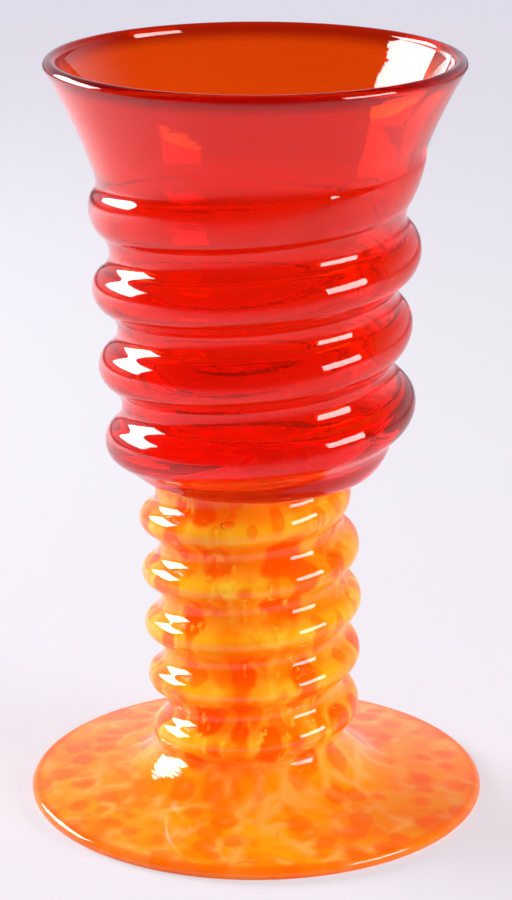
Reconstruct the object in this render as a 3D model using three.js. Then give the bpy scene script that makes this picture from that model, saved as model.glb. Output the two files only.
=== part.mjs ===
// Water goblet in blown glass: a red bowl with one wide rib wound round it, on a hollow
// stem and foot, each of mottled orange glass under a clear outer layer.
// Millimetres, +Z up, origin at the centre of the foot where it rests on the table.
import * as THREE from 'three';

// Overall sizes
const BOWL_HEIGHT = 93;
const STEM_HEIGHT = 68;
const FOOT_HEIGHT = 9;
const LIP_RADIUS = 45.7;
const FOOT_RADIUS = 51.7;

// Bowl, with heights from its own base
const BOWL_BASE_RADIUS = 24.3;
const BOWL_LOWER_RADIUS = 29.1;
const BOWL_NECK_RADIUS = 31.6;
const BOWL_BASE_ROUNDING = 7.8;
const BOWL_WALL = 2.6;
const BOWL_FLOOR = 5.5;
const BOWL_FLOOR_ROUNDING = 12;
const BOWL_FLARE_HEIGHT = 42;
const BOWL_FLARE_POWER = 1.85;
const LIP_BEAD_RADIUS = 1.55;

// Rib wound round the bowl: crestHeight is the height of one crest on the +X side
const BOWL_RIB = {
  pitch: 17.3,
  height: 4.65,
  crestShare: 0.56,
  crestHeight: 67.7,
  startLength: 8,
  endBelowTop: 17,
  endLength: 26,
};
const BOWL_INSIDE_SHARE = 0.7;

// Unevenness of the blown wall: how far it stands out on the +X side and on the -X side
const BOWL_UNEVENNESS = [
  { z: 0, right: -0.1, left: 0.8 },
  { z: 8, right: 0.75, left: -0.5 },
  { z: 18, right: 1, left: 0 },
  { z: 29, right: -1.1, left: -0.35 },
  { z: 41, right: -0.15, left: 0.1 },
  { z: 53, right: 0.05, left: 0.5 },
  { z: 65, right: 0, left: 0 },
];

// Stem, with heights from the top of the foot
const STEM_LOWER_RADIUS = 19.6;
const STEM_UPPER_RADIUS = 21.3;
const STEM_TOP_WALL = 2.2;
const STEM_LEAN = -1.6;

// Rib wound round the stem
const STEM_RIB = {
  pitch: 12.6,
  height: 4,
  crestShare: 0.5,
  crestHeight: 63.1,
  startLength: 8,
  endBelowTop: 0,
  endLength: 11,
};
const STEM_UNEVENNESS = [
  { z: 0, right: 0, left: 0 },
  { z: 12, right: -0.2, left: -0.2 },
  { z: 25, right: 0, left: 0.25 },
  { z: 38, right: 0.2, left: 0.1 },
  { z: 52, right: -0.4, left: -0.1 },
  { z: 68, right: 0, left: 0 },
];

// Glass layers of the stem and the foot
const CLEAR_WALL = 1.2;
const MOTTLED_WALL = 1.4;
const LAYER_GAP = 0.3;

// Flare from the stem into the foot's slope: round on the foot, where FLARE_END is the angle at
// its end, and straight on the stem, up to a narrow valley
const FLARE_ROUNDING = 13.5;
const FLARE_CENTRE_OVER_JOINT = 10;
const FLARE_END = 0.145;
const FLARE_VALLEY = 1;

// Foot
const FOOT_EDGE_RADIUS = 1.45;
const FOOT_RESTING_WIDTH = 1.4;
const MOTTLED_EDGE_INSET = 3.4;

// The ribs die out over this height at each joint, because the joints are round
const JOINT_BLEND = 3;

// Facets
const BOWL_SIDES = 36;
const STEM_SIDES = 28;
const FOOT_SIDES = 40;
const ROWS_PER_PITCH = 6;
const PLAIN_ROW = 5;
const EDGE_STEPS = 6;
const ARC_STEPS = 5;

const ROUNDING = 1e-6;
const LIP_CENTRE = BOWL_HEIGHT - LIP_BEAD_RADIUS;
const FOOT_EDGE_CENTRE = FOOT_RADIUS - FOOT_EDGE_RADIUS;
const MOTTLED_DEPTH = CLEAR_WALL + LAYER_GAP;
const FLARE_CENTRE = {
  r: STEM_LOWER_RADIUS + FLARE_ROUNDING,
  z: FOOT_HEIGHT + FLARE_CENTRE_OVER_JOINT,
};
const FLARE_AT_JOINT = Math.acos(FLARE_CENTRE_OVER_JOINT / FLARE_ROUNDING);
const FLARE_REACH = FLARE_ROUNDING * (1 - Math.sin(FLARE_AT_JOINT));

function easeUp(value, from, to) {
  const t = Math.min(Math.max((value - from) / (to - from), 0), 1);
  return t * t * (3 - 2 * t);
}

// Numbers from one to another in equal steps no longer than the one given
function spread(from, to, step) {
  const count = Math.ceil(Math.abs(to - from) / step);
  return Array.from({ length: count + 1 }, (_, i) => from + ((to - from) * i) / count);
}

// How far a blown wall stands out from its true round at an angle and a height
function unevenAt(readings, angle, height) {
  const next = readings.findIndex(({ z }) => z > height);
  if (next < 1) {
    return 0;
  }
  const [below, above] = [readings[next - 1], readings[next]];
  const share = easeUp(height, below.z, above.z);
  const right = below.right + (above.right - below.right) * share;
  const left = below.left + (above.left - below.left) * share;
  const facing = (1 + Math.cos(angle)) / 2;
  return right * facing ** 1.5 + left * (1 - facing) ** 1.5;
}

// Section of a rib at a depth under its surface: a round crest that runs into a round groove
function ribSection(distance, rib, depth) {
  const half = rib.pitch / 2;
  const radii = (half * half + rib.height * rib.height) / (2 * rib.height);
  const crest = radii * rib.crestShare;
  const groove = radii - crest;
  if (distance < (half * (crest - depth)) / radii) {
    return depth + rib.height - crest + Math.sqrt((crest - depth) ** 2 - distance ** 2);
  }
  return depth + groove - Math.sqrt((groove + depth) ** 2 - (half - distance) ** 2);
}

// How far the wound rib stands out, at an angle round the axis and a height up its piece
function ribAt(rib, angle, height, pieceHeight, depth = 0) {
  const fromCrest = height - rib.crestHeight - (rib.pitch * angle) / (2 * Math.PI);
  const distance = fromCrest - rib.pitch * Math.round(fromCrest / rib.pitch);
  const crest = height - distance;
  const end = pieceHeight - rib.endBelowTop;
  const strength = easeUp(crest, 0, rib.startLength) * (1 - easeUp(crest, end - rib.endLength, end));
  const fromJoint = Math.min(height, pieceHeight - height);
  return strength * easeUp(fromJoint, 0, JOINT_BLEND) * ribSection(Math.abs(distance), rib, depth);
}

// Heights up a wall: its two ends, and between them rows that climb round with the rib
function climbingRows(rib, angle, from, to) {
  const row = rib.pitch / ROWS_PER_PITCH;
  const climb = rib.crestHeight + (rib.pitch * angle) / (2 * Math.PI);
  const rows = [from];
  for (let i = Math.ceil((from - climb) / row + 0.3); climb + i * row < to - 0.3 * row; i += 1) {
    rows.push(climb + i * row);
  }
  return [...rows, to];
}

// Joins two neighbouring sections into a strip, taking their points { r, z, key } in order of key,
// the left one's first where two keys are alike but for rounding
function joinSections(left, right, add) {
  let i = 0;
  let j = 0;
  while (i < left.length - 1 || j < right.length - 1) {
    const leftNext = i < left.length - 1 ? left[i + 1].key : Infinity;
    const rightNext = j < right.length - 1 ? right[j + 1].key : Infinity;
    if (leftNext <= rightNext + ROUNDING) {
      add(left[i], right[j], left[i + 1]);
      i += 1;
    } else {
      add(left[i], right[j], right[j + 1]);
      j += 1;
    }
  }
}

// Skins the solid whose section at each angle round Z is given, with as many flat sides as asked
function turnSection(sectionAt, sides) {
  const columns = spread(0, 2 * Math.PI, (2 * Math.PI) / sides).map((angle) =>
    sectionAt(angle).map((point) => ({
      ...point,
      position: [point.r * Math.cos(angle), point.r * Math.sin(angle), point.z],
    })),
  );
  const positions = [];
  for (let i = 0; i < sides; i += 1) {
    joinSections(columns[i], columns[i + 1], (...corners) => {
      positions.push(...corners.flatMap((corner) => corner.position));
    });
  }
  const geometry = new THREE.BufferGeometry();
  geometry.setAttribute('position', new THREE.Float32BufferAttribute(positions, 3));
  geometry.computeVertexNormals();
  return geometry;
}

function turnPlain(profile, sides) {
  const points = profile.map(({ r, z }) => new THREE.Vector2(r, z));
  const geometry = new THREE.LatheGeometry(points, sides);
  geometry.rotateX(Math.PI / 2);
  return geometry;
}

function makePiece(name, geometry, height, glass) {
  const material = new THREE.MeshStandardMaterial({ ...glass, metalness: 0, transparent: true });
  const mesh = new THREE.Mesh(geometry, material);
  mesh.name = name;
  mesh.position.z = height;
  return mesh;
}

const RED_GLASS = { color: 0xdc2a0a, roughness: 0.04, opacity: 0.75 };
const CLEAR_GLASS = { color: 0xfff4e2, roughness: 0.03, opacity: 0.3 };
const MOTTLED_GLASS = { color: 0xff7d12, roughness: 0.2, opacity: 0.95 };

// Outer radius of the bowl in its grooves
function bowlRadius(height) {
  const flareStart = LIP_CENTRE - BOWL_FLARE_HEIGHT;
  const slope = (BOWL_NECK_RADIUS - BOWL_LOWER_RADIUS) / flareStart;
  const rounding = 1 - Math.min(height / BOWL_BASE_ROUNDING, 1);
  const base = (BOWL_LOWER_RADIUS - BOWL_BASE_RADIUS) * (1 - Math.sqrt(1 - rounding * rounding));
  const flare = Math.max(height - flareStart, 0) / BOWL_FLARE_HEIGHT;
  const lip = LIP_RADIUS - BOWL_NECK_RADIUS - slope * BOWL_FLARE_HEIGHT;
  return BOWL_LOWER_RADIUS + slope * height - base + lip * flare ** BOWL_FLARE_POWER;
}

// Flat base, outside wall, round lip, inside wall and rounded floor. The keys follow that order,
// and on the two walls they also follow the rib's climb.
function bowlSection(angle) {
  const climb = (BOWL_RIB.pitch * angle) / (2 * Math.PI);
  const ribEnd = BOWL_HEIGHT - BOWL_RIB.endBelowTop;
  const floorEdge = BOWL_FLOOR + BOWL_FLOOR_ROUNDING;
  const plainRows = spread(ribEnd, LIP_CENTRE, PLAIN_ROW).slice(1);
  const rib = (z) => ribAt(BOWL_RIB, angle, z, BOWL_HEIGHT);
  const body = (z) => bowlRadius(z) + unevenAt(BOWL_UNEVENNESS, angle, z);
  const outside = (z) => body(z) + rib(z);
  const inside = (z) => body(z) - BOWL_WALL + BOWL_INSIDE_SHARE * rib(z);
  const wallLength = BOWL_HEIGHT + BOWL_RIB.pitch;

  const points = [{ r: 0, z: 0, key: -wallLength }];
  for (const z of climbingRows(BOWL_RIB, angle, 0, ribEnd)) {
    points.push({ r: outside(z), z, key: z - climb });
  }
  for (const z of plainRows) {
    points.push({ r: outside(z), z, key: z });
  }
  for (const turn of spread(0, Math.PI, Math.PI / EDGE_STEPS).slice(1)) {
    const r = LIP_RADIUS - LIP_BEAD_RADIUS * (1 - Math.cos(turn));
    points.push({ r, z: LIP_CENTRE + LIP_BEAD_RADIUS * Math.sin(turn), key: wallLength + turn });
  }
  for (const z of plainRows.toReversed().slice(1)) {
    points.push({ r: inside(z), z, key: 3 * wallLength - z });
  }
  for (const z of climbingRows(BOWL_RIB, angle, floorEdge, ribEnd).toReversed()) {
    points.push({ r: inside(z), z, key: 3 * wallLength - z + climb });
  }
  for (const turn of spread(0, Math.PI / 2, Math.PI / 2 / ARC_STEPS).slice(1)) {
    const z = floorEdge - BOWL_FLOOR_ROUNDING * Math.sin(turn);
    points.push({ r: inside(floorEdge) * Math.cos(turn), z, key: 4 * wallLength + turn });
  }
  return points;
}

function makeBowl() {
  return makePiece('bowl', turnSection(bowlSection, BOWL_SIDES), FOOT_HEIGHT + STEM_HEIGHT, RED_GLASS);
}

// Outer radius of the stem in its grooves
function stemRadius(height) {
  const body = STEM_LOWER_RADIUS + ((STEM_UPPER_RADIUS - STEM_LOWER_RADIUS) * height) / STEM_HEIGHT;
  const atJoint = FLARE_REACH - FLARE_VALLEY ** 2 / (4 * FLARE_REACH);
  const cone = atJoint - height / Math.tan(FLARE_AT_JOINT);
  return body + (cone + Math.hypot(cone, FLARE_VALLEY)) / 2;
}

// Shears a stem piece so that its top stands off the foot's axis
function leanOver(geometry) {
  const position = geometry.attributes.position;
  for (let i = 0; i < position.count; i += 1) {
    position.setX(i, position.getX(i) + (STEM_LEAN * position.getZ(i)) / STEM_HEIGHT);
  }
  return geometry;
}

// A tube closed at the top and open below. Its outside lies at a depth under the stem's surface,
// and its inside follows the rib too, or stays smooth.
function stemLayerSection({ depth, wall, topWall, smoothInside }, angle) {
  const climb = (STEM_RIB.pitch * angle) / (2 * Math.PI);
  const body = (z) => stemRadius(z) + unevenAt(STEM_UNEVENNESS, angle, z);
  const rib = (z, under) => ribAt(STEM_RIB, angle, z, STEM_HEIGHT, under);
  const top = STEM_HEIGHT - depth;
  const underTop = top - topWall;
  const under = depth + wall;
  const wallRows = climbingRows(STEM_RIB, angle, 0, STEM_HEIGHT - MOTTLED_DEPTH - STEM_TOP_WALL);
  const wallLength = 2 * STEM_HEIGHT;

  const points = [{ r: 0, z: underTop, key: -2 * wallLength }];
  if (smoothInside) {
    for (const z of spread(underTop, 0, PLAIN_ROW)) {
      points.push({ r: body(z) - under, z, key: -wallLength - z });
    }
  } else {
    for (const z of [underTop, ...wallRows.toReversed()]) {
      points.push({ r: body(z) - under + rib(z, under), z, key: -wallLength - z + climb });
    }
  }
  for (const z of [...wallRows, top]) {
    points.push({ r: body(z) - depth + rib(z, depth), z, key: z - climb });
  }
  points.push({ r: 0, z: top, key: wallLength });
  return points;
}

function makeStemLayer(name, layer, glass) {
  const geometry = turnSection((angle) => stemLayerSection(layer, angle), STEM_SIDES);
  return makePiece(name, leanOver(geometry), FOOT_HEIGHT, glass);
}

function makeStemClearLayer() {
  const layer = { depth: 0, wall: CLEAR_WALL, topWall: CLEAR_WALL, smoothInside: false };
  return makeStemLayer('stem_clear_layer', layer, CLEAR_GLASS);
}

function makeStemMottledBubble() {
  const layer = { depth: MOTTLED_DEPTH, wall: MOTTLED_WALL, topWall: STEM_TOP_WALL, smoothInside: true };
  return makeStemLayer('stem_mottled_bubble', layer, MOTTLED_GLASS);
}

// Points from the slope's inner end up the flare to the joint with the stem. The depth under the
// foot's surface is measured down from the slope and turns level at the joint, as in the stem.
function footNeck(depth) {
  return spread(FLARE_END, FLARE_AT_JOINT, (FLARE_AT_JOINT - FLARE_END) / ARC_STEPS).map((turn) => {
    const level = ((Math.PI / 2) * (turn - FLARE_END)) / (FLARE_AT_JOINT - FLARE_END);
    return {
      r: FLARE_CENTRE.r - FLARE_ROUNDING * Math.sin(turn) - depth * Math.sin(level),
      z: FLARE_CENTRE.z - FLARE_ROUNDING * Math.cos(turn) - depth * Math.cos(level),
    };
  });
}

// Height of the foot's sloping top, from its edge to where it turns up into the flare
function footTop(radius) {
  const edge = 2 * FOOT_EDGE_RADIUS;
  const inner = footNeck(0)[0];
  return edge + ((inner.z - edge) * (FOOT_EDGE_CENTRE - radius)) / (FOOT_EDGE_CENTRE - inner.r);
}

// The clear layer wraps the edge, and its flat underside there is what the goblet rests on
function makeFootClearLayer() {
  const insideEdge = FOOT_RADIUS - MOTTLED_EDGE_INSET + LAYER_GAP;
  const start = { r: FOOT_EDGE_CENTRE - FOOT_RESTING_WIDTH, z: 0 };
  const profile = [start];
  for (const turn of spread(-Math.PI / 2, Math.PI / 2, Math.PI / EDGE_STEPS)) {
    const r = FOOT_EDGE_CENTRE + FOOT_EDGE_RADIUS * Math.cos(turn);
    profile.push({ r, z: FOOT_EDGE_RADIUS * (1 + Math.sin(turn)) });
  }
  profile.push(...footNeck(0), ...footNeck(CLEAR_WALL).toReversed());
  profile.push({ r: insideEdge, z: footTop(insideEdge) - CLEAR_WALL }, start);
  return makePiece('foot_clear_layer', turnPlain(profile, FOOT_SIDES), 0, CLEAR_GLASS);
}

function makeFootMottledLayer() {
  const edge = FOOT_RADIUS - MOTTLED_EDGE_INSET;
  const underDepth = MOTTLED_DEPTH + MOTTLED_WALL;
  const start = { r: edge, z: footTop(edge) - underDepth };
  const profile = [start, { r: edge, z: footTop(edge) - MOTTLED_DEPTH }];
  profile.push(...footNeck(MOTTLED_DEPTH), ...footNeck(underDepth).toReversed(), start);
  return makePiece('foot_mottled_layer', turnPlain(profile, FOOT_SIDES), 0, MOTTLED_GLASS);
}

const goblet = new THREE.Group();
goblet.add(makeBowl());
goblet.add(makeStemClearLayer());
goblet.add(makeStemMottledBubble());
goblet.add(makeFootClearLayer());
goblet.add(makeFootMottledLayer());

export default goblet;
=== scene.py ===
import math

import bpy
import numpy as np
from mathutils import Matrix, Vector


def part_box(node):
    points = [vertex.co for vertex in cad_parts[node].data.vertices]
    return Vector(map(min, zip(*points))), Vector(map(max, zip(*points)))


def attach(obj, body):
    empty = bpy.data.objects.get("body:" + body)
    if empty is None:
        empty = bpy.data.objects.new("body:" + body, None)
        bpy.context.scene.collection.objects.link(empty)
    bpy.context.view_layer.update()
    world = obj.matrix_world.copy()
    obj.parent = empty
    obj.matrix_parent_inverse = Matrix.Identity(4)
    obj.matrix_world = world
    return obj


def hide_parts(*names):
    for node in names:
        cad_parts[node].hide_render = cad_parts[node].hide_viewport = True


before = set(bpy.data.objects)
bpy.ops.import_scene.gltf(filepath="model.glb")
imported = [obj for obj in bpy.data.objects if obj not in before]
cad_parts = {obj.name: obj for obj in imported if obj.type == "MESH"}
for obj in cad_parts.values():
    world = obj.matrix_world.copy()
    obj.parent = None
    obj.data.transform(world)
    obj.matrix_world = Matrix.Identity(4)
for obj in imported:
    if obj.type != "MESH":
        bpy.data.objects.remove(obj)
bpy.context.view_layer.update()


# Bowl: red glass blown as one bubble, opened out into a trumpet lip and fire-polished there,
# with one thick rib of the same glass wound round it four times. Its flat base is stuck hot
# on the top of the stem.
STEM_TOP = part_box("bowl")[0].z
GOBLET_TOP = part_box("bowl")[1].z
BOWL_HEIGHT = GOBLET_TOP - STEM_TOP
BOWL_BASE_RADIUS = 0.0243
BOWL_BASE_RINGS = (0.0, 0.008, 0.016)
BOWL_BASE_ROUNDING = 0.0078
BOWL_LOWER_RADIUS = 0.0291
BOWL_NECK_RADIUS = 0.0316
BOWL_WALL = 0.0026
BOWL_FLOOR = 0.0055
BOWL_FLOOR_ROUNDING = 0.012
BOWL_FLOOR_EDGE = BOWL_FLOOR + BOWL_FLOOR_ROUNDING
LIP_RADIUS = 0.0457
LIP_BEAD_RADIUS = 0.00155
LIP_BEAD_RUNS_OUT = 0.003
LIP_CENTRE = BOWL_HEIGHT - LIP_BEAD_RADIUS
BOWL_FLARE_HEIGHT = 0.042
BOWL_FLARE_START = LIP_CENTRE - BOWL_FLARE_HEIGHT
BOWL_FLARE_POWER = 1.85
BOWL_WALL_STEP = 0.0006

# A rib's height is measured from its groove. A crest passes the +X side at crest_height, and
# crest_share is the crest's part of the two radii, its own and the groove's. The rib rises over
# start_length at the piece's bottom. It dies away over end_length and is gone at end_below_top.
BOWL_RIB = {
    "pitch": 0.0173,
    "height": 0.00465,
    "crest_share": 0.56,
    "crest_height": 0.0677,
    "start_length": 0.008,
    "end_below_top": 0.017,
    "end_length": 0.026,
}
RIB_INSIDE_BOWL = 0.7

# Unevenness of the blown wall: height, then how far it stands out on the +X and the -X side
BOWL_UNEVENNESS = (
    (0, -0.0001, 0.0008),
    (0.008, 0.00075, -0.0005),
    (0.018, 0.001, 0),
    (0.029, -0.0011, -0.00035),
    (0.041, -0.00015, 0.0001),
    (0.053, 0.00005, 0.0005),
    (0.065, 0, 0),
)
UNEVENNESS_POWER = 1.5
JOINT_BLEND = 0.003

ROUND_SIDES = 192
SAME_PLACE = 0.000002
CRISP_FROM = math.radians(50)


def ease_up(value, start, end):
    t = np.clip((value - start) / (end - start), 0, 1)
    return t * t * (3 - 2 * t)


# How far a blown wall stands out from its true round at an angle and a height
def uneven_at(readings, angle, height):
    right, left = readings[0][1:]
    for below, above in zip(readings, readings[1:]):
        share = ease_up(height, below[0], above[0])
        right = right + (above[1] - below[1]) * share
        left = left + (above[2] - below[2]) * share
    facing = (1 + np.cos(angle)) / 2
    return right * facing**UNEVENNESS_POWER + left * (1 - facing) ** UNEVENNESS_POWER


# Section of a rib at a depth under its surface: a round crest that runs into a round groove
def rib_section(distance, rib, depth):
    half = rib["pitch"] / 2
    radii = (half**2 + rib["height"] ** 2) / (2 * rib["height"])
    crest = radii * rib["crest_share"]
    groove = radii - crest
    on_crest = distance < half * (crest - depth) / radii
    top = np.sqrt(np.maximum((crest - depth) ** 2 - distance**2, 0))
    dip = np.sqrt(np.maximum((groove + depth) ** 2 - (half - distance) ** 2, 0))
    return np.where(on_crest, depth + rib["height"] - crest + top, depth + groove - dip)


# How far the wound rib stands out, at an angle round the axis and a height up its piece
def rib_at(rib, angle, height, piece_height, depth=0.0):
    from_crest = height - rib["crest_height"] - rib["pitch"] * angle / (2 * math.pi)
    distance = from_crest - rib["pitch"] * np.round(from_crest / rib["pitch"])
    crest = height - distance
    end = piece_height - rib["end_below_top"]
    strength = ease_up(crest, 0, rib["start_length"])
    strength = strength * (1 - ease_up(crest, end - rib["end_length"], end))
    from_joint = np.minimum(height, piece_height - height)
    return strength * ease_up(from_joint, 0, JOINT_BLEND) * rib_section(abs(distance), rib, depth)


# Outer radius of the bowl in its grooves
def bowl_radius(height):
    slope = (BOWL_NECK_RADIUS - BOWL_LOWER_RADIUS) / BOWL_FLARE_START
    rounding = 1 - np.minimum(height / BOWL_BASE_ROUNDING, 1)
    base = (BOWL_LOWER_RADIUS - BOWL_BASE_RADIUS) * (1 - np.sqrt(1 - rounding**2))
    flare = np.maximum(height - BOWL_FLARE_START, 0) / BOWL_FLARE_HEIGHT
    lip = LIP_RADIUS - BOWL_NECK_RADIUS - slope * BOWL_FLARE_HEIGHT
    return BOWL_LOWER_RADIUS + slope * height - base + lip * flare**BOWL_FLARE_POWER


# Draws a section as a chain of points and turns it round the axis, as glass is turned on the iron
def turned_piece(name, section):
    bpy.ops.object.select_all(action="DESELECT")
    first = section[0]
    bpy.ops.mesh.primitive_plane_add(size=0.001, location=(first[0], 0, first[1]))
    piece = bpy.context.object
    piece.name = name
    bpy.ops.object.transform_apply(location=True, rotation=False, scale=False)
    bpy.ops.object.mode_set(mode="EDIT")
    bpy.ops.mesh.select_mode(type="VERT")
    bpy.ops.mesh.select_all(action="SELECT")
    bpy.ops.mesh.merge(type="CENTER")
    for here, there in zip(section, section[1:]):
        step = (there[0] - here[0], 0, there[1] - here[1])
        bpy.ops.mesh.extrude_vertices_move(TRANSFORM_OT_translate={"value": step})
    bpy.ops.object.mode_set(mode="OBJECT")
    turn = piece.modifiers.new("turn", "SCREW")
    turn.axis = "Z"
    turn.steps = turn.render_steps = ROUND_SIDES
    turn.use_merge_vertices = True
    turn.merge_threshold = SAME_PLACE
    bpy.ops.object.modifier_apply(modifier=turn.name)
    bpy.ops.object.mode_set(mode="EDIT")
    bpy.ops.mesh.select_all(action="SELECT")
    bpy.ops.mesh.remove_doubles(threshold=SAME_PLACE)
    bpy.ops.mesh.normals_make_consistent(inside=False)
    bpy.ops.object.mode_set(mode="OBJECT")
    bpy.ops.object.shade_smooth_by_angle(angle=CRISP_FROM)
    return piece


# The points of a piece as distances from the axis, angles round it and heights
def read_points(piece):
    points = np.empty(len(piece.data.vertices) * 3)
    piece.data.vertices.foreach_get("co", points)
    points = points.reshape(-1, 3)
    radius = np.hypot(points[:, 0], points[:, 1])
    return radius, np.arctan2(points[:, 1], points[:, 0]), points[:, 2].copy()


def write_points(piece, radius, angle, height, lean=0.0):
    points = np.column_stack((radius * np.cos(angle) + lean, radius * np.sin(angle), height))
    piece.data.vertices.foreach_set("co", points.ravel())
    piece.data.update()


# Values in even steps from start to end, both included, with no step over the longest one
def rows(start, end, longest):
    count = max(1, math.ceil(abs(end - start) / longest))
    return [start + (end - start) * i / count for i in range(count + 1)]


# From the middle of the base, up the outside, over the lip's bead and down the inside
def bowl_section():
    section = [(radius, 0.0) for radius in BOWL_BASE_RINGS]
    base_heights = [BOWL_BASE_ROUNDING * (1 - math.cos(t)) for t in rows(0, math.pi / 2, longest=0.1)]
    wall_heights = rows(BOWL_BASE_ROUNDING, LIP_CENTRE, BOWL_WALL_STEP)
    for height in base_heights[:-1] + wall_heights:
        section.append((float(bowl_radius(height)), height))
    for turn in rows(0, math.pi, longest=math.pi / 18)[1:]:
        radius = LIP_RADIUS - LIP_BEAD_RADIUS * (1 - math.cos(turn))
        section.append((radius, LIP_CENTRE + LIP_BEAD_RADIUS * math.sin(turn)))
    bead = 2 * LIP_BEAD_RADIUS - BOWL_WALL
    for height in rows(LIP_CENTRE, BOWL_FLOOR_EDGE, BOWL_WALL_STEP)[1:]:
        thicker = bead * math.exp((height - LIP_CENTRE) / LIP_BEAD_RUNS_OUT)
        section.append((float(bowl_radius(height)) - BOWL_WALL - thicker, height))
    inside_edge = float(bowl_radius(BOWL_FLOOR_EDGE)) - BOWL_WALL
    for turn in rows(0, math.pi / 2, longest=math.pi / 36)[1:]:
        radius = max(inside_edge * math.cos(turn), 0.0)
        section.append((radius, BOWL_FLOOR_EDGE - BOWL_FLOOR_ROUNDING * math.sin(turn)))
    return section


# Winds the rib on, which shows on the inside too, and lifts the bowl to its place on the stem
def wind_bowl_rib(piece):
    radius, angle, height = read_points(piece)
    rib = rib_at(BOWL_RIB, angle, height, BOWL_HEIGHT)
    outside = radius > bowl_radius(np.minimum(height, LIP_CENTRE)) - BOWL_WALL / 2
    inside_share = RIB_INSIDE_BOWL * ease_up(height, BOWL_FLOOR, BOWL_FLOOR_EDGE)
    body = radius * (1 + uneven_at(BOWL_UNEVENNESS, angle, height) / bowl_radius(height))
    write_points(piece, body + rib * np.where(outside, 1.0, inside_share), angle, height + STEM_TOP)


bowl = turned_piece("red_glass_bowl", bowl_section())
wind_bowl_rib(bowl)


# The functions below add to the material in hand, whose parts are called nodes, links and shader
def start_material(name):
    material = bpy.data.materials.new(name)
    material.use_nodes = True
    tree = material.node_tree
    return material, tree.nodes, tree.links, tree.nodes["Principled BSDF"]


def set_inputs(node, values):
    for name, value in values.items():
        node.inputs[name].default_value = value


# Goes smoothly from one value to another while a reading goes from start to end
def fade(reading, start, end, before=0.0, after=1.0):
    node = nodes.new("ShaderNodeMapRange")
    node.interpolation_type = "SMOOTHSTEP"
    set_inputs(node, {"From Min": start, "From Max": end, "To Min": before, "To Max": after})
    links.new(reading, node.inputs["Value"])
    return node.outputs["Result"]


# Sets a socket to a number or a colour, or links it to another socket
def feed(socket, value):
    if isinstance(value, bpy.types.NodeSocket):
        links.new(value, socket)
    else:
        socket.default_value = value


def reckon(operation, first, second):
    node = nodes.new("ShaderNodeMath")
    node.operation = operation
    feed(node.inputs[0], first)
    feed(node.inputs[1], second)
    return node.outputs["Value"]


# A Mix node has sockets for each kind of data, and 6, 7 and 2 are those for colours
def tint(share, under, over):
    node = nodes.new("ShaderNodeMix")
    node.data_type = "RGBA"
    feed(node.inputs[0], share)
    feed(node.inputs[6], under)
    feed(node.inputs[7], over)
    return node.outputs[2]


def split_axes(vector):
    node = nodes.new("ShaderNodeSeparateXYZ")
    links.new(vector, node.inputs["Vector"])
    return node.outputs


def stretched(vector, scale, offset=0.0):
    node = nodes.new("ShaderNodeMapping")
    set_inputs(node, {"Location": (offset, offset, offset), "Scale": scale})
    links.new(vector, node.inputs["Vector"])
    return node.outputs["Vector"]


def noise(vector, detail):
    node = nodes.new("ShaderNodeTexNoise")
    set_inputs(node, {"Scale": 1.0, "Detail": detail})
    links.new(vector, node.inputs["Vector"])
    return node.outputs


TOOL_LINE_DEPTH = 0.0003


# Fine lines drawn on the soft glass by the tools, as bump
def draw_tool_lines(vector, detail, strength):
    bump = nodes.new("ShaderNodeBump")
    set_inputs(bump, {"Distance": TOOL_LINE_DEPTH})
    links.new(strength, bump.inputs["Strength"])
    links.new(noise(vector, detail)["Fac"], bump.inputs["Height"])
    links.new(bump.outputs["Normal"], shader.inputs["Normal"])


# Red glass: clear all through, deeper in colour the thicker it is, dark in the polished lip,
# with fine tool lines round it that are deeper in the flare
RED = (0.975, 0.13, 0.02, 1)
LIP_RED = (0.5, 0.025, 0.015, 1)
LIP_DARKENS_BELOW_TOP = 0.005
LIP_DARK_BELOW_TOP = 0.0015
DEPTH_COLOUR = (0.9957, 0.829, 0.0, 1)
DEPTH_DENSITY = 1170
BOWL_LINE_SCALE = (12, 12, 420)
BOWL_LINES = 0.06
FLARE_LINES = 0.14
LINES_DEEPEN_BELOW_TOP = 0.032
LINES_DEEP_BELOW_TOP = 0.022

red_glass, nodes, links, shader = start_material("red_glass")
set_inputs(shader, {"Roughness": 0.0, "IOR": 1.5, "Transmission Weight": 0.95})
place = nodes.new("ShaderNodeTexCoord").outputs["Object"]
height = split_axes(place)["Z"]
at_lip = fade(height, GOBLET_TOP - LIP_DARKENS_BELOW_TOP, GOBLET_TOP - LIP_DARK_BELOW_TOP)
links.new(tint(at_lip, RED, LIP_RED), shader.inputs["Base Color"])
line_strength = fade(
    height,
    GOBLET_TOP - LINES_DEEPEN_BELOW_TOP,
    GOBLET_TOP - LINES_DEEP_BELOW_TOP,
    BOWL_LINES,
    FLARE_LINES,
)
draw_tool_lines(stretched(place, BOWL_LINE_SCALE), detail=3.0, strength=line_strength)
absorption = nodes.new("ShaderNodeVolumeAbsorption")
set_inputs(absorption, {"Color": DEPTH_COLOUR, "Density": DEPTH_DENSITY})
links.new(absorption.outputs["Volume"], nodes["Material Output"].inputs["Volume"])
bowl.data.materials.append(red_glass)
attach(bowl, "root")
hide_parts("bowl")


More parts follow.
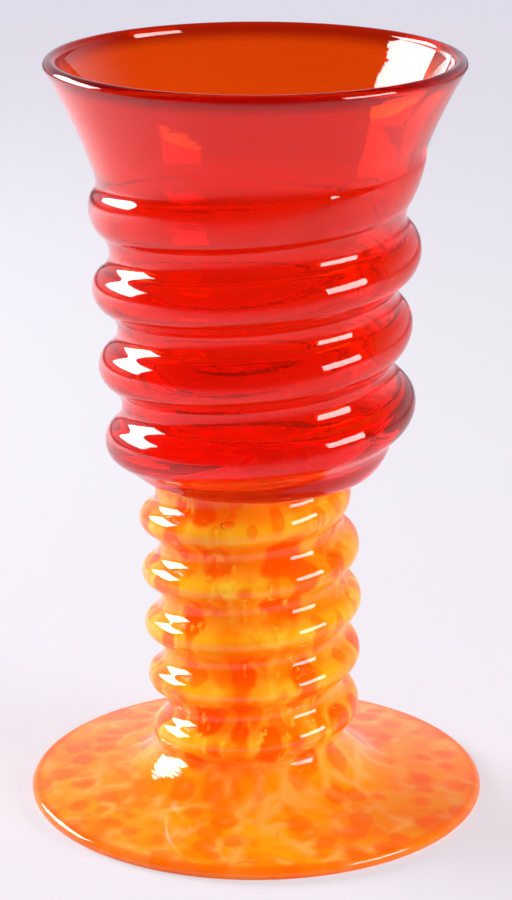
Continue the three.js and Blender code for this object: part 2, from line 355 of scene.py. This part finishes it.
# Stem, outer layer: clear glass gathered over the mottled bubble, with a rib wound round it.
# It leans a little, it closes over the top, where it carries the bowl, and the rim at its lower
# end is stuck hot to the foot's own clear layer.
FOOT_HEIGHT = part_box("foot_clear_layer")[1].z
STEM_HEIGHT = STEM_TOP - FOOT_HEIGHT
STEM_LOWER_RADIUS = 0.0196
STEM_UPPER_RADIUS = 0.0213
STEM_LEAN = -0.0016
STEM_WALL_STEP = 0.00045
STEM_RIB = {
    "pitch": 0.0126,
    "height": 0.004,
    "crest_share": 0.5,
    "crest_height": 0.0631,
    "start_length": 0.008,
    "end_below_top": 0.0,
    "end_length": 0.011,
}
STEM_UNEVENNESS = (
    (0, 0, 0),
    (0.012, -0.0002, -0.0002),
    (0.025, 0, 0.00025),
    (0.038, 0.0002, 0.0001),
    (0.052, -0.0004, -0.0001),
    (0.068, 0, 0),
)

# The clear layer is 1.6 mm thick at its wall and a skin at its top. The mottled wall lies under
# it, a hair away, and both reach a little into the bowl's base, so that no air shows there.
MOTTLED_DEPTH = 0.0015
MOTTLED_WALL = 0.0014
FUSED_GAP = 0.0001
CLEAR_DEPTH = MOTTLED_DEPTH + FUSED_GAP
CLEAR_INTO_BOWL = 0.0001
CLEAR_UNDER_BOWL = 0.0003
WALL_TOLERANCE = 0.0001

# Flare from the stem into the foot's slope: round on the foot, where FLARE_END is the angle at
# its end, and straight on the stem, up to a narrow valley
FLARE_ROUNDING = 0.0135
FLARE_CENTRE_OVER_JOINT = 0.010
FLARE_END = 0.145
FLARE_VALLEY = 0.001
FLARE_AT_JOINT = math.acos(FLARE_CENTRE_OVER_JOINT / FLARE_ROUNDING)
FLARE_REACH = FLARE_ROUNDING * (1 - math.sin(FLARE_AT_JOINT))


def stem_radius(height):
    body = STEM_LOWER_RADIUS + (STEM_UPPER_RADIUS - STEM_LOWER_RADIUS) * height / STEM_HEIGHT
    cone = FLARE_REACH - FLARE_VALLEY**2 / (4 * FLARE_REACH) - height / math.tan(FLARE_AT_JOINT)
    return body + (cone + np.hypot(cone, FLARE_VALLEY)) / 2


# Section of a layer that is closed at the top: its outside and inside lie at depths under the
# stem's surface, and top and under_top are the heights of its top and of its hollow
def stem_section(outside, inside, top, under_top):
    inner_wall = []
    for height in rows(under_top, 0, STEM_WALL_STEP):
        inner_wall.append((float(stem_radius(height)) - inside, height))
    outer_wall = []
    for height in rows(0, top, STEM_WALL_STEP):
        outer_wall.append((float(stem_radius(min(height, STEM_HEIGHT))) - outside, height))
    hollow_top = [(0.0, under_top), (inner_wall[0][0] / 2, under_top)]
    outer_top = [(outer_wall[-1][0] / 2, top), (0.0, top)]
    return hollow_top + inner_wall + outer_wall + outer_top


# Winds the rib on a layer's outside, and on its inside too where inside_ribbed is true
def wind_stem_rib(piece, outside, inside, inside_ribbed):
    radius, angle, height = read_points(piece)
    up = np.clip(height, 0, STEM_HEIGHT)
    on_outside = radius > stem_radius(up) - (outside + inside) / 2
    on_wall = radius > stem_radius(up) - inside - WALL_TOLERANCE
    rib = np.where(on_outside, rib_at(STEM_RIB, angle, up, STEM_HEIGHT, outside), 0.0)
    if inside_ribbed:
        under = rib_at(STEM_RIB, angle, up, STEM_HEIGHT, inside)
        rib = np.where(on_wall & ~on_outside, under, rib)
    body = radius * (1 + uneven_at(STEM_UNEVENNESS, angle, up) / stem_radius(up))
    lean = STEM_LEAN * height / STEM_HEIGHT
    write_points(piece, body + rib, angle, height + FOOT_HEIGHT, lean)


clear_section = stem_section(
    outside=0.0,
    inside=CLEAR_DEPTH,
    top=STEM_HEIGHT + CLEAR_INTO_BOWL,
    under_top=STEM_HEIGHT - CLEAR_UNDER_BOWL,
)
stem_clear = turned_piece("clear_stem_layer", clear_section)
wind_stem_rib(stem_clear, 0.0, CLEAR_DEPTH, inside_ribbed=True)

# A seed: one flat bubble of air caught in the clear glass near the top, in front to the left.
# It lies along the rib's slope. Its faces point into its air, out of the glass, as all others do.
SEED_ANGLE = math.radians(-102)
SEED_HEIGHT = 0.0626
SEED_DEPTH = 0.0008
SEED_HALF_SIZE = (0.0015, 0.00115, 0.00035)
SMALL_TURN = 0.01
SMALL_RISE = 0.0001


def stem_surface(angle, height):
    radius = float(stem_radius(height) + rib_at(STEM_RIB, angle, height, STEM_HEIGHT))
    lean = STEM_LEAN * height / STEM_HEIGHT
    return Vector((radius * math.cos(angle) + lean, radius * math.sin(angle), height + FOOT_HEIGHT))


def catch_seed(piece):
    surface = stem_surface(SEED_ANGLE, SEED_HEIGHT)
    aside = (stem_surface(SEED_ANGLE + SMALL_TURN, SEED_HEIGHT) - surface).normalized()
    slope = stem_surface(SEED_ANGLE, SEED_HEIGHT + SMALL_RISE) - surface
    outward = aside.cross(slope).normalized()
    turn = Matrix((aside, outward.cross(aside), outward)).transposed()
    bpy.ops.object.select_all(action="DESELECT")
    bpy.ops.mesh.primitive_uv_sphere_add(segments=48, ring_count=24, radius=1)
    seed = bpy.context.object
    seed.matrix_world = Matrix.LocRotScale(surface - outward * SEED_DEPTH, turn, SEED_HALF_SIZE)
    bpy.ops.object.transform_apply()
    bpy.ops.object.shade_smooth()
    bpy.ops.object.mode_set(mode="EDIT")
    bpy.ops.mesh.select_all(action="SELECT")
    bpy.ops.mesh.flip_normals()
    bpy.ops.object.mode_set(mode="OBJECT")
    bpy.context.view_layer.objects.active = piece
    piece.select_set(True)
    bpy.ops.object.join()


catch_seed(stem_clear)

# Clear glass, with rings drawn by the tools, which run down the stem and out over the foot and
# are deep at their joint. They deepen over the first pair of heights and fade over the second.
CLEAR = (1.0, 0.98, 0.95, 1)
RINGS_AROUND = 45
RINGS_ALONG = 600
RINGS = 0.08
JOINT_RINGS = 0.6
RINGS_DEEPEN = (0.0052, 0.0085)
RINGS_FADE = (0.0120, 0.0150)


def distance_from_axis(vector):
    level = nodes.new("ShaderNodeVectorMath")
    level.operation = "MULTIPLY"
    level.inputs[1].default_value = (1, 1, 0)
    links.new(vector, level.inputs[0])
    distance = nodes.new("ShaderNodeVectorMath")
    distance.operation = "LENGTH"
    links.new(level.outputs["Vector"], distance.inputs[0])
    return distance.outputs["Value"]


clear_glass, nodes, links, shader = start_material("clear_glass")
set_inputs(shader, {"Base Color": CLEAR, "Roughness": 0.0, "IOR": 1.5, "Transmission Weight": 1.0})
place = nodes.new("ShaderNodeTexCoord").outputs["Object"]
axes = split_axes(place)
down = reckon("SUBTRACT", axes["Z"], distance_from_axis(place))
rings = nodes.new("ShaderNodeCombineXYZ")
links.new(reckon("MULTIPLY", axes["X"], RINGS_AROUND), rings.inputs["X"])
links.new(reckon("MULTIPLY", axes["Y"], RINGS_AROUND), rings.inputs["Y"])
links.new(reckon("MULTIPLY", down, RINGS_ALONG), rings.inputs["Z"])
over_slope = fade(axes["Z"], *RINGS_DEEPEN)
under_ribs = fade(axes["Z"], *RINGS_FADE, 1.0, 0.0)
at_joint = reckon("MULTIPLY", over_slope, under_ribs)
ring_strength = fade(at_joint, 0.0, 1.0, RINGS, JOINT_RINGS)
draw_tool_lines(rings.outputs["Vector"], detail=2.0, strength=ring_strength)

# Where the clear layers of the stem and the foot are melted together, light passes unbent
fused_seam, nodes, links, shader = start_material("fused_seam")
unbent = nodes.new("ShaderNodeBsdfTransparent")
links.new(unbent.outputs["BSDF"], nodes["Material Output"].inputs["Surface"])
nodes.remove(shader)
SEAM_SLOT = 1


def give_clear_glass(piece):
    piece.data.materials.append(clear_glass)
    piece.data.materials.append(fused_seam)
    points = piece.data.vertices
    for face in piece.data.polygons:
        if all(abs(points[i].co.z - FOOT_HEIGHT) < SAME_PLACE for i in face.vertices):
            face.material_index = SEAM_SLOT


give_clear_glass(stem_clear)
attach(stem_clear, "root")
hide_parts("stem_clear_layer")


# Stem, inner bubble: pieces of orange frit melted into one mottled wall and blown hollow. It is
# closed at the top, its bore is smooth, and it opens into the hollow of the foot.
MOTTLED_INTO_BOWL = 0.00015
MOTTLED_HOLLOW_BELOW_TOP = 0.0033
MOTTLED_INSIDE = MOTTLED_DEPTH + MOTTLED_WALL

mottled_section = stem_section(
    outside=MOTTLED_DEPTH,
    inside=MOTTLED_INSIDE,
    top=STEM_HEIGHT + MOTTLED_INTO_BOWL,
    under_top=STEM_HEIGHT - MOTTLED_HOLLOW_BELOW_TOP,
)
stem_mottled = turned_piece("mottled_stem_bubble", mottled_section)
wind_stem_rib(stem_mottled, MOTTLED_DEPTH, MOTTLED_INSIDE, inside_ribbed=False)

# Mottled glass: an orange ground that turns yellow in places, with pale veins where the pieces
# of frit met and darker orange spots. The spots are stronger on the stem, where yellow streaks are
# painted glints that stand in for light focused through the clear glass, and the foot's rim is plain.
GROUND_ORANGE = (1.0, 0.37, 0.004, 1)
GROUND_YELLOW = (1.0, 0.55, 0.012, 1)
FOOT_VEIN = (1.0, 0.66, 0.14, 1)
STEM_VEIN = (1.0, 0.66, 0.04, 1)
SMALL_SPOT = (1.0, 0.23, 0.001, 1)
LARGE_SPOT = (1.0, 0.19, 0.0, 1)
PAINTED_GLINT = (1.0, 0.74, 0.05, 1)
RIM_ORANGE = (1.0, 0.22, 0.002, 1)

# Noise lies about 0.5, and its clouds begin and are full at these readings
YELLOW_EDGES = (0.36, 0.64)
PATCH_EDGES = (0.36, 0.62)
PAINTED_GLINT_EDGES = (0.58, 0.70)
VEIN_WIDTH = 0.26
SPOT_REACH = 0.50
SPOT_CHOICE = 0.25
SPOT_SMOOTHNESS = 0.35
SWIRL_SIZE = 1.3

# Heights where the foot's look turns into the stem's, and radii where the rim's colour comes in
FOOT_TO_STEM = (0.008, 0.018)
FOOT_TO_RIM = (0.0488, 0.0508)
RIM_SHARE = 0.75

mottled_glass, nodes, links, shader = start_material("mottled_orange_glass")
place = nodes.new("ShaderNodeTexCoord").outputs["Object"]


# Noise on the glass, whose clouds are so wide and so high
def clouds(across, high, detail):
    return noise(stretched(place, (1 / across, 1 / across, 1 / high)), detail)


# Where the melted pieces of colour lie: their size, and how far the blowing pulled them about
def melted_pieces(feature, across, high, pull, offset=0.0):
    shift = nodes.new("ShaderNodeVectorMath")
    shift.operation = "MULTIPLY_ADD"
    shift.inputs[1].default_value = (pull, pull, pull)
    swirl = clouds(across * SWIRL_SIZE, high * SWIRL_SIZE, detail=2.0)
    links.new(swirl["Color"], shift.inputs[0])
    links.new(place, shift.inputs[2])
    pieces = nodes.new("ShaderNodeTexVoronoi")
    pieces.feature = feature
    set_inputs(pieces, {"Scale": 1.0})
    if feature == "SMOOTH_F1":
        set_inputs(pieces, {"Smoothness": SPOT_SMOOTHNESS})
    spread = stretched(shift.outputs["Vector"], (1 / across, 1 / across, 1 / high), offset)
    links.new(spread, pieces.inputs["Vector"])
    return pieces.outputs


# Spots, of which the share called rare is left out, with edges that are so soft
def spots(across, high, pull, rare, soft, offset=0.0):
    pieces = melted_pieces("SMOOTH_F1", across, high, pull, offset)
    each = nodes.new("ShaderNodeSeparateColor")
    links.new(pieces["Color"], each.inputs["Color"])
    near = fade(pieces["Distance"], SPOT_REACH - soft, SPOT_REACH, 1.0, 0.0)
    return reckon("MULTIPLY", near, fade(each.outputs["Red"], rare, rare + SPOT_CHOICE))


on_stem = fade(split_axes(place)["Z"], *FOOT_TO_STEM)


# Lays a mark's colour over the colour under it, in one strength on the foot and one on the stem
def lay_over(under, mark, mark_colour, foot, stem):
    strength = fade(on_stem, 0.0, 1.0, foot, stem)
    return tint(reckon("MULTIPLY", mark, strength), under, mark_colour)


yellow = fade(clouds(across=0.010, high=0.016, detail=2.0)["Fac"], *YELLOW_EDGES)
patches = fade(clouds(across=0.008, high=0.013, detail=1.0)["Fac"], *PATCH_EDGES)
edges = melted_pieces("DISTANCE_TO_EDGE", across=0.0075, high=0.0120, pull=0.006)
veins = reckon("MULTIPLY", fade(edges["Distance"], 0.0, VEIN_WIDTH, 1.0, 0.0), patches)
large = spots(across=0.0071, high=0.0155, pull=0.0045, rare=0.05, soft=0.17)
small = spots(across=0.0044, high=0.0095, pull=0.004, rare=0.40, soft=0.14, offset=7.3)
# Painted glints: yellow streaks on the stem, laid where light focused through the clear glass would
# shine
painted_glints = fade(clouds(across=0.0018, high=0.006, detail=2.0)["Fac"], *PAINTED_GLINT_EDGES)
painted_glints = reckon("MULTIPLY", reckon("MULTIPLY", painted_glints, patches), on_stem)
at_rim = fade(distance_from_axis(place), *FOOT_TO_RIM, 0.0, RIM_SHARE)
colour = tint(yellow, GROUND_ORANGE, GROUND_YELLOW)
colour = lay_over(colour, veins, tint(on_stem, FOOT_VEIN, STEM_VEIN), foot=0.95, stem=0.85)
colour = lay_over(colour, small, SMALL_SPOT, foot=0.3, stem=0.65)
colour = lay_over(colour, large, LARGE_SPOT, foot=0.55, stem=1.0)
colour = tint(painted_glints, colour, PAINTED_GLINT)
colour = tint(at_rim, colour, RIM_ORANGE)
links.new(colour, shader.inputs["Base Color"])
set_inputs(shader, {"Roughness": 0.3, "Specular IOR Level": 0.0})

stem_mottled.data.materials.append(mottled_glass)
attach(stem_mottled, "root")
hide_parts("stem_mottled_bubble")


# Foot, outer layer: clear glass over the mottled one, turned down from the stem and spread
# into a wide shallow cone, with a thick round edge that the goblet rests on
FOOT_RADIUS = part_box("foot_clear_layer")[1].x
FOOT_EDGE_RADIUS = 0.00145
FOOT_EDGE_CENTRE = FOOT_RADIUS - FOOT_EDGE_RADIUS
FOOT_RESTING_WIDTH = 0.0014
FOOT_CLEAR_INSIDE = 0.0486
FOOT_STEP = 0.001


# Points from the slope's inner end up the flare to the joint with the stem. The depth under the
# foot's surface is measured down from the slope and turns level at the joint, as in the stem.
def foot_neck(depth):
    points = []
    for turn in rows(FLARE_END, FLARE_AT_JOINT, longest=0.02):
        level = math.pi / 2 * (turn - FLARE_END) / (FLARE_AT_JOINT - FLARE_END)
        radius = STEM_LOWER_RADIUS + FLARE_ROUNDING * (1 - math.sin(turn))
        centre = FOOT_HEIGHT + FLARE_CENTRE_OVER_JOINT
        height = centre - FLARE_ROUNDING * math.cos(turn)
        points.append((radius - depth * math.sin(level), height - depth * math.cos(level)))
    return points


FLARE_EDGE, FLARE_EDGE_HEIGHT = foot_neck(0)[0]


# Height of the foot's sloping top, from its edge to where it turns up into the flare
def foot_top(radius):
    edge = 2 * FOOT_EDGE_RADIUS
    slope = (FLARE_EDGE_HEIGHT - edge) / (FOOT_EDGE_CENTRE - FLARE_EDGE)
    return edge + slope * (FOOT_EDGE_CENTRE - radius)


def foot_slope(start, end, depth):
    return [(radius, foot_top(radius) - depth) for radius in rows(start, end, FOOT_STEP)]


# Half a round about the middle of the foot's edge, from its lowest point to its highest
def foot_edge(rounding, longest):
    points = []
    for turn in rows(-math.pi / 2, math.pi / 2, longest):
        radius = FOOT_EDGE_CENTRE + rounding * math.cos(turn)
        points.append((radius, FOOT_EDGE_RADIUS + rounding * math.sin(turn)))
    return points


section = [(FOOT_EDGE_CENTRE - FOOT_RESTING_WIDTH, 0.0)]
section += foot_edge(FOOT_EDGE_RADIUS, longest=math.pi / 24)
section += foot_slope(FOOT_EDGE_CENTRE, FLARE_EDGE, 0)[1:-1] + foot_neck(0)
section += foot_neck(CLEAR_DEPTH)[::-1]
section += foot_slope(FLARE_EDGE, FOOT_CLEAR_INSIDE, CLEAR_DEPTH)[1:]
section.append(section[0])
foot_clear = turned_piece("clear_foot_layer", section)
give_clear_glass(foot_clear)
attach(foot_clear, "root")
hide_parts("foot_clear_layer")


# Foot, inner layer: the same mottled orange glass, melted to the stem's bubble and spread with
# the clear glass over it. It rises near the edge and fills the round there.
FOOT_MOTTLED_ROUND = 0.00105
FOOT_MOTTLED_RISES = 0.044
FOOT_MOTTLED_TOE = (0.0465, 0.0005)
FOOT_MOTTLED_INSIDE = 0.0455
TOP_STARTS_INSIDE_EDGE = 0.0005

section = [FOOT_MOTTLED_TOE] + foot_edge(FOOT_MOTTLED_ROUND, longest=math.pi / 14)
whole_rise = MOTTLED_DEPTH - FOOT_EDGE_RADIUS + FOOT_MOTTLED_ROUND
for radius in rows(FOOT_EDGE_CENTRE - TOP_STARTS_INSIDE_EDGE, FLARE_EDGE, FOOT_STEP)[:-1]:
    rise = whole_rise * float(ease_up(radius, FOOT_MOTTLED_RISES, FOOT_EDGE_CENTRE))
    section.append((radius, foot_top(radius) - MOTTLED_DEPTH + rise))
section += foot_neck(MOTTLED_DEPTH) + foot_neck(MOTTLED_INSIDE)[::-1]
section += foot_slope(FLARE_EDGE, FOOT_MOTTLED_INSIDE, MOTTLED_INSIDE)[1:]
section.append(section[0])
foot_mottled = turned_piece("mottled_foot_layer", section)
foot_mottled.data.materials.append(mottled_glass)
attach(foot_mottled, "root")
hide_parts("foot_mottled_layer")


# Studio: a plain pale table top that runs out of sight into a pale backdrop of its own colour,
# which isn't part of the goblet. By the goblet the camera and the glass see the lit table and
# the backdrop mixed, and beyond arm's length the backdrop alone.
TABLE_RADIUS = 8
TABLE_PAINT = (0.745, 0.72, 0.775, 1)
BACKDROP = (0.74, 0.72, 0.82, 1)
# Painted pool of light: the backdrop's colour is painted palest by the goblet and darker further off
BACKDROP_PAINTED_LIT_BY_GOBLET = (0.93, 0.90, 0.95, 1)
BACKDROP_SHARE_BY_GOBLET = 0.6
PAINTED_LIGHT_WITHIN = 0.15
MIXED_WITHIN = 0.3
BACKDROP_FROM = 1.25
UNLIT = (0.01, 0.01, 0.01, 1)
UNLIT_SHARE = 0.9
UNLIT_TO_LIT = (-0.4, -0.04)


def mixed_shader(share, under, over):
    node = nodes.new("ShaderNodeMixShader")
    links.new(share, node.inputs["Fac"])
    links.new(under, node.inputs[1])
    links.new(over, node.inputs[2])
    return node.outputs["Shader"]


bpy.ops.object.select_all(action="DESELECT")
bpy.ops.mesh.primitive_circle_add(vertices=96, radius=TABLE_RADIUS, fill_type="NGON", location=(0, 0, 0))
table_top = bpy.context.object
table_top.name = "table_top"
table_paint, nodes, links, shader = start_material("pale_table")
set_inputs(shader, {"Base Color": TABLE_PAINT, "Roughness": 0.9, "Specular IOR Level": 0.1})
place = nodes.new("ShaderNodeTexCoord").outputs["Object"]
path = nodes.new("ShaderNodeLightPath").outputs
length = nodes.new("ShaderNodeVectorMath")
length.operation = "LENGTH"
links.new(place, length.inputs[0])
distance = length.outputs["Value"]
# The backdrop that the camera and the glass see carries a painted pool of light, palest by the goblet
painted_light_backdrop = nodes.new("ShaderNodeEmission")
backdrop_with_painted_light = tint(fade(distance, PAINTED_LIGHT_WITHIN, BACKDROP_FROM), BACKDROP_PAINTED_LIT_BY_GOBLET, BACKDROP)
links.new(backdrop_with_painted_light, painted_light_backdrop.inputs["Color"])
straight = reckon("MAXIMUM", path["Is Camera Ray"], path["Is Transmission Ray"])
backdrop_share = fade(distance, MIXED_WITHIN, BACKDROP_FROM, BACKDROP_SHARE_BY_GOBLET, 1.0)
backdrop_share = reckon("MULTIPLY", straight, backdrop_share)
seen = mixed_shader(backdrop_share, shader.outputs["BSDF"], painted_light_backdrop.outputs["Emission"])

# What the glass reflects of the table in front of it is dark, as in a dark room
front = fade(split_axes(place)["Y"], *UNLIT_TO_LIT, UNLIT_SHARE, 0.0)
unlit = nodes.new("ShaderNodeBsdfDiffuse")
set_inputs(unlit, {"Color": UNLIT})
dim_share = reckon("MULTIPLY", front, path["Is Glossy Ray"])
whole = mixed_shader(dim_share, seen, unlit.outputs["BSDF"])
links.new(whole, nodes["Material Output"].inputs["Surface"])
table_top.data.materials.append(table_paint)


# Room: the backdrop all round where the camera or the glass looks near the level, a dark room
# above and before the table for what the glass reflects, and a soft even fill on the table
DARK_FRONT = 0.02
DARK_ABOVE = 0.03
DIM_ABOVE = 0.55
FILL = 0.35

# Parts of a direction, between -1 and 1, where the room begins to change and has changed
FRONT_TO_BACK = (-0.1, 0.6)
LOW_TO_HIGH = (0.1, 0.75)
BACKDROP_TO_HIGH = (0.3, 0.7)

world = bpy.data.worlds.new("studio")
bpy.context.scene.world = world
world.use_nodes = True
nodes, links = world.node_tree.nodes, world.node_tree.links
background = nodes["Background"]
axes = split_axes(nodes.new("ShaderNodeTexCoord").outputs["Generated"])
path = nodes.new("ShaderNodeLightPath").outputs
behind = fade(axes["Y"], *FRONT_TO_BACK, DARK_FRONT, 1.0)
low = fade(axes["Z"], *LOW_TO_HIGH, 1.0, DARK_ABOVE)
fill = reckon("MULTIPLY", path["Is Diffuse Ray"], FILL)
other = reckon("MAXIMUM", reckon("MULTIPLY", behind, low), fill)
straight = reckon("MAXIMUM", path["Is Camera Ray"], path["Is Transmission Ray"])
seen = reckon("MULTIPLY", straight, fade(axes["Z"], *BACKDROP_TO_HIGH, 1.0, DIM_ABOVE))
unseen = reckon("MULTIPLY", reckon("SUBTRACT", 1.0, straight), other)
set_inputs(background, {"Color": BACKDROP})
links.new(reckon("ADD", seen, unseen), background.inputs["Strength"])


# Two soft boxes: a broad one to the left and a little behind, a smaller one to the right and a
# little in front
LAMP_DISTANCE = 1.0
LAMPS_AIM_AT = 0.1


def soft_box(name, azimuth, elevation, width, height, power):
    around, up = math.radians(azimuth), math.radians(elevation)
    away = (math.sin(around) * math.cos(up), -math.cos(around) * math.cos(up), math.sin(up))
    light = bpy.data.lights.new(name, "AREA")
    light.shape = "RECTANGLE"
    light.size = width
    light.size_y = height
    light.energy = power
    lamp = bpy.data.objects.new(name, light)
    bpy.context.scene.collection.objects.link(lamp)
    lamp.location = Vector(away) * LAMP_DISTANCE + Vector((0, 0, LAMPS_AIM_AT))
    lamp.rotation_mode = "XYZ"
    lamp.rotation_euler = (math.radians(90) - up, 0, around)
    lamp.visible_camera = False


soft_box("left_soft_box", azimuth=-116, elevation=20.5, width=0.70, height=0.40, power=15.8)
soft_box("right_soft_box", azimuth=63, elevation=16, width=0.55, height=0.36, power=8.2)

# Camera, at the photograph's place and angle
CAMERA_PLACE = (0.0003, -0.637, 0.2843)
CAMERA_LOOKS_DOWN = math.radians(17.68)
CAMERA_ROLL = 0.0013

camera_data = bpy.data.cameras.new("camera")
camera_data.sensor_fit = "VERTICAL"
camera_data.sensor_height = 36
camera_data.lens = 119.62
camera = bpy.data.objects.new("camera", camera_data)
bpy.context.scene.collection.objects.link(camera)
camera.location = CAMERA_PLACE
camera.rotation_euler = (math.radians(90) - CAMERA_LOOKS_DOWN, CAMERA_ROLL, 0)
bpy.context.scene.camera = camera
bpy.context.scene.view_settings.view_transform = "Standard"

# Light passes through many walls of glass, so it is followed for long and nothing is clamped
cycles = bpy.context.scene.cycles
cycles.sample_clamp_indirect = 0.0
cycles.blur_glossy = 0.0
cycles.max_bounces = 48
cycles.transmission_bounces = 32
cycles.diffuse_bounces = 16
cycles.glossy_bounces = 32
